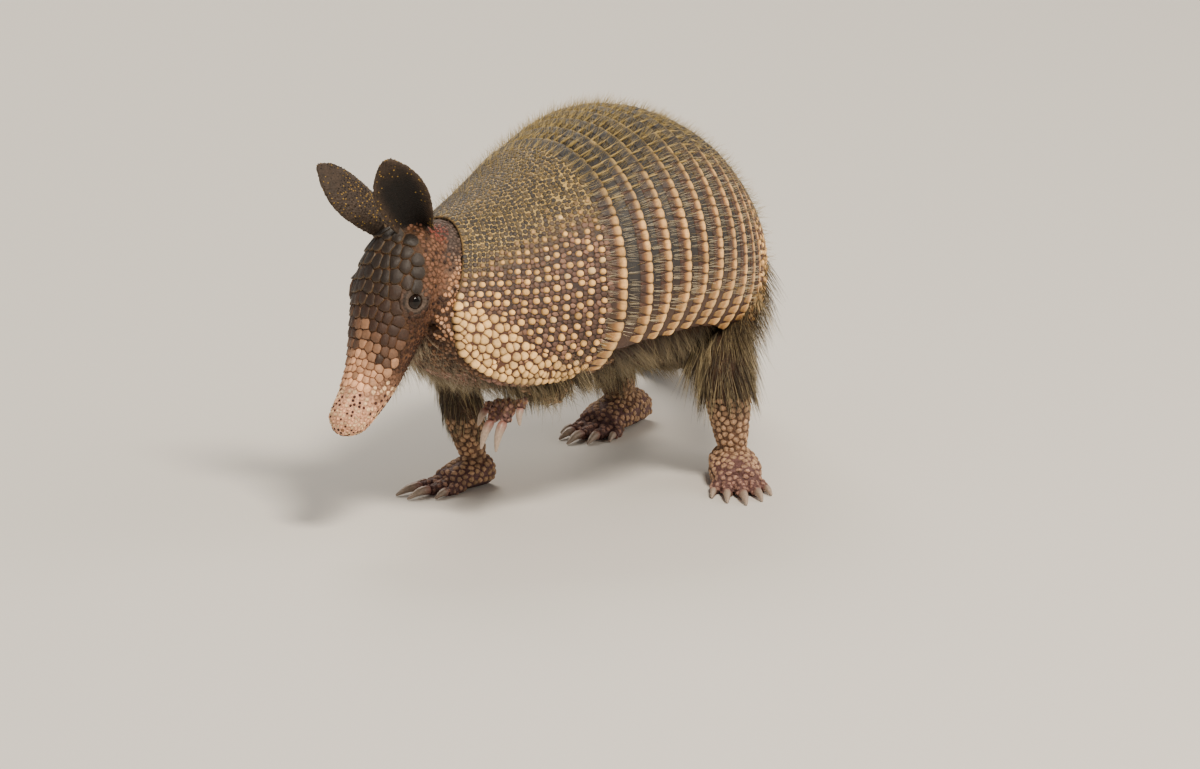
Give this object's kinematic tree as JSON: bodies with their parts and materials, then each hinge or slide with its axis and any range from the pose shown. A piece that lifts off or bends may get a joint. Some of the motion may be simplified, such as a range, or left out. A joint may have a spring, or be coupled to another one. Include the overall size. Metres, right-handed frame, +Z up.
{
  "type": "nine-banded armadillo",
  "caption": "Armadillo in mid-step: a shell of shields and bands, a long low snout, upright ears, clawed feet with one forefoot lifted, and a tapering tail laid on the floor.",
  "frame": {"origin": "on the floor, under the middle of the whole animal's bounding box", "axes": "+Z up; the head points to -X, the animal's left side to -Y, and the tail curls to +Y"},
  "size_m": [0.359, 0.3704, 0.183],
  "materials": {
    "shell_horn": "dry horn scutes over bone, dark brown on top and cream at the lower edges",
    "skin": "loose brown-pink skin under sparse grey-straw hair",
    "scaly_hide": "dark pebbled and scaled hide",
    "hair": "coarse straw and grey-brown hair",
    "eye": "wet, nearly black",
    "claw_horn": "worn pale horn, pinkish at the root"
  },
  "bodies": {
    "root": {"shoulder_shield": "shell_horn", "band_1": "shell_horn", "band_2": "shell_horn", "band_3": "shell_horn", "band_4": "shell_horn", "band_5": "shell_horn", "band_6": "shell_horn", "band_7": "shell_horn", "band_8": "shell_horn", "band_9": "shell_horn", "hip_shield": "shell_horn", "trunk": "skin", "head": "skin", "head_shield": "shell_horn", "eye_left": "eye", "eye_right": "eye", "neck": "skin", "ear_left": "scaly_hide", "ear_right": "scaly_hide", "hind_left_upper_leg": "skin", "hind_left_lower_leg": "skin", "hind_left_foot": "scaly_hide", "hind_left_claw_inner": "claw_horn", "hind_left_claw_second": "claw_horn", "hind_left_claw_middle": "claw_horn", "hind_left_claw_fourth": "claw_horn", "hind_left_claw_outer": "claw_horn", "hind_right_upper_leg": "skin", "hind_right_lower_leg": "skin", "hind_right_foot": "scaly_hide", "hind_right_claw_inner": "claw_horn", "hind_right_claw_second": "claw_horn", "hind_right_claw_middle": "claw_horn", "hind_right_claw_fourth": "claw_horn", "hind_right_claw_outer": "claw_horn", "fore_right_upper_leg": "skin", "fore_right_lower_leg": "skin", "fore_right_foot": "scaly_hide", "fore_right_claw_inner": "claw_horn", "fore_right_claw_second": "claw_horn", "fore_right_claw_third": "claw_horn", "fore_right_claw_outer": "claw_horn", "fore_left_upper_leg": "skin", "fore_left_lower_leg": "skin", "fore_left_foot": "scaly_hide", "fore_left_claw_inner": "claw_horn", "fore_left_claw_second": "claw_horn", "fore_left_claw_third": "claw_horn", "fore_left_claw_outer": "claw_horn", "tail_base": "scaly_hide", "tail_middle": "scaly_hide", "tail_tip": "scaly_hide"}
  },
  "joints": []
}
